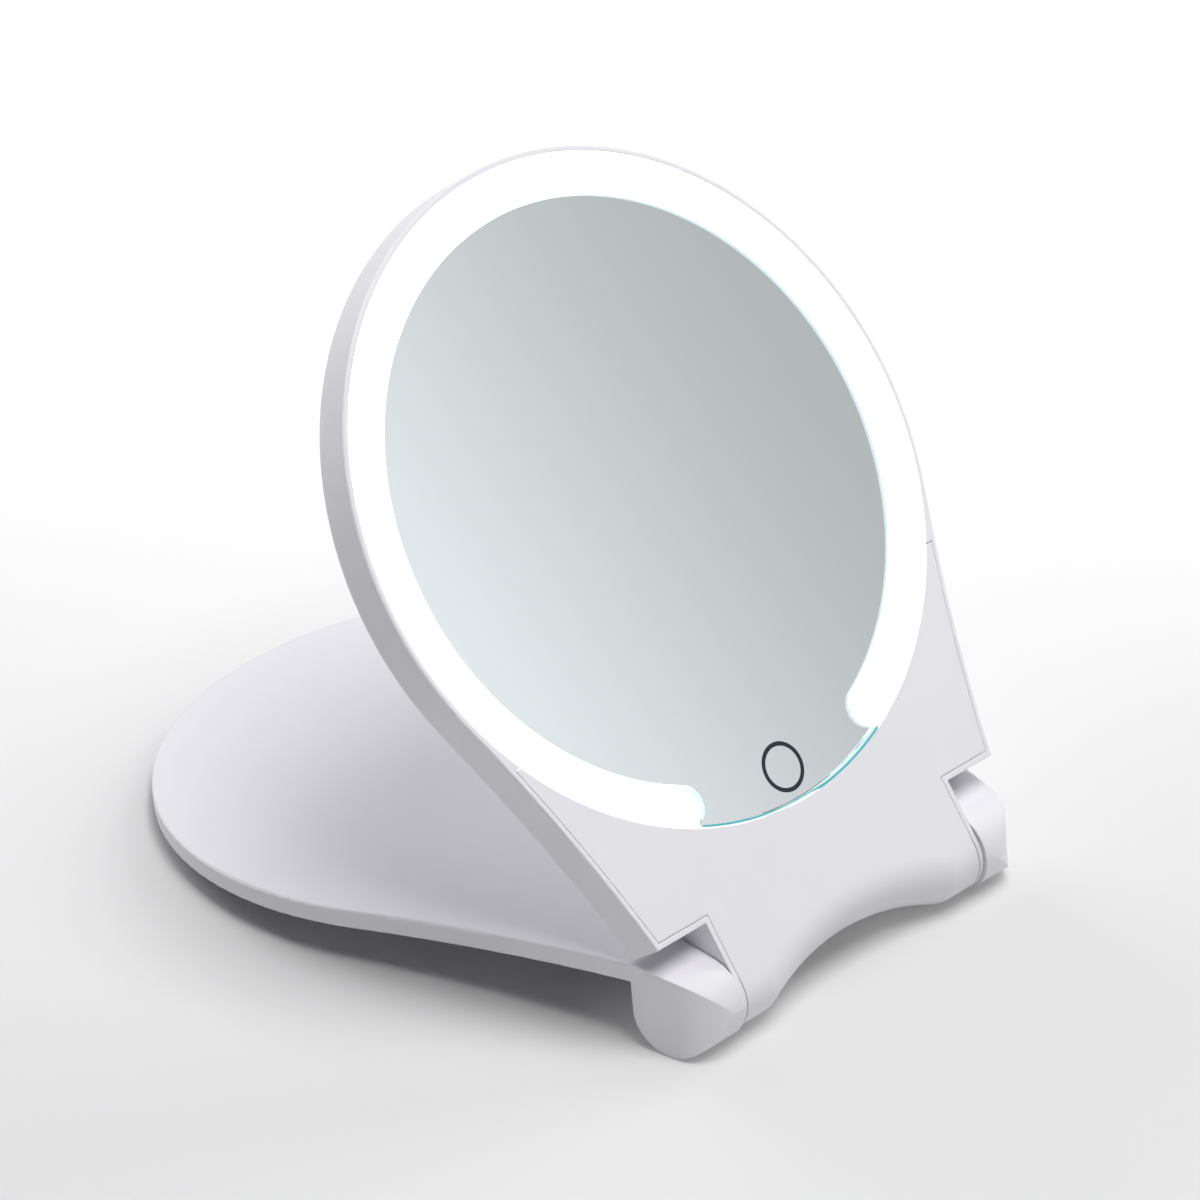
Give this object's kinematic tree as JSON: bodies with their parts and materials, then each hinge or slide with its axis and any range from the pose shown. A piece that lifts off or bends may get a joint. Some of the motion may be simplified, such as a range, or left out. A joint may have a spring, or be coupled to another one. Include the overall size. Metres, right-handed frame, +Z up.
{
  "type": "folding lighted travel mirror",
  "caption": "Round lit mirror panel hinged to a lid-shaped base; it leans back for use and folds flat into the lid, with a touch mark on the glass and a charging inlet.",
  "frame": {"origin": "middle of the bounding box's bottom, on the surface the mirror stands on", "axes": "+X to the right of someone looking into the mirror, +Y from the hinge to the back of the base, +Z up; the hinge axis runs along X near the front"},
  "size_m": [0.1558, 0.1896, 0.1567],
  "materials": {
    "white_shell": "satin white",
    "clear_glass": "polished",
    "silver_mirror": "mirror",
    "lit_diffuser": "frosted, lit",
    "ring_print": "matte print",
    "copper_foil": "bare foil",
    "reflector_white": "matte",
    "foam_tape": "matte foam",
    "flex_circuit": "matte",
    "led_package": "moulded",
    "circuit_board": "solder mask",
    "chip_black": "moulded",
    "screw_steel": "zinc plated",
    "cell_pouch": "foil",
    "wire_sleeve": "matte",
    "socket_steel": "stamped",
    "bush_plastic": "matte",
    "spring_steel": "rolled",
    "pin_steel": "ground",
    "grey_rubber": "matte"
  },
  "bodies": {
    "base": {"base_shell": "white_shell", "hinge_pin_left": "pin_steel", "hinge_pin_right": "pin_steel", "ear_pads": "grey_rubber"},
    "mirror": {"rear_shell": "white_shell", "chin_plate": "white_shell", "mirror_glass": "clear_glass", "mirror_silvering": "silver_mirror", "light_diffuser": "lit_diffuser", "touch_ring": "ring_print", "touch_sensor_pad": "copper_foil", "touch_contact": "copper_foil", "reflector_ring": "reflector_white", "glass_tape": "foam_tape", "led_strip": "flex_circuit", "led_chips": "led_package", "control_board": "circuit_board", "board_components": "chip_black", "board_screws": "screw_steel", "chin_screws": "screw_steel", "rechargeable_cell": "cell_pouch", "cell_tape": "foam_tape", "cell_wires": "wire_sleeve", "usb_socket": "socket_steel", "hinge_bush_left": "bush_plastic", "hinge_bush_right": "bush_plastic", "torque_clip_left": "spring_steel", "torque_clip_right": "spring_steel", "clip_screws": "screw_steel"}
  },
  "joints": [
    {"name": "mirror_fold", "type": "hinge", "parent": "base", "child": "mirror", "pos_m": [0, -0.08551, 0.0096], "axis": [1, 0, 0], "range_deg": [0, 302]}
  ]
}
